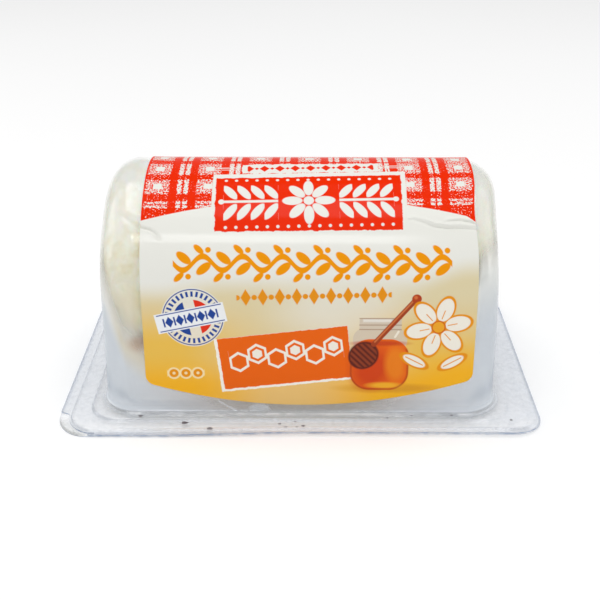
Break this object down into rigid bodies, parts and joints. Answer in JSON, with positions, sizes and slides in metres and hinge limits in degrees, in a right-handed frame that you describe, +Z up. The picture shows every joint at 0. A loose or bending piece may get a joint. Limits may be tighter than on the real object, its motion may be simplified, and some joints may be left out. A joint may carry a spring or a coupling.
{
  "type": "goat cheese log in a clear pack",
  "caption": "Small fresh goat cheese log lying in a clear arched plastic pack with a stepped flange, a sealed base film and a printed wrap label over the arch.",
  "frame": {"origin": "on the table under the middle of the pack", "axes": "+X along the log to the right, +Y from the label's front to its back, +Z up"},
  "size_m": [0.0916, 0.0566, 0.0435],
  "materials": {
    "clear_cover": "clear thin formed sheet, glossy, slightly hazy and blue-grey, with shallow dents and fine scratches",
    "base_film": "thin clear sealing film, faintly milky where it is welded to the flange",
    "cheese": "soft moist fresh curd, white to pale cream, with a fine uneven skin",
    "label": "satin printed label: red and white check band, white field running down to golden orange"
  },
  "bodies": {
    "root": {"clear_cover": "clear_cover", "base_film": "base_film", "cheese_log": "cheese", "wrap_label": "label"}
  },
  "joints": []
}
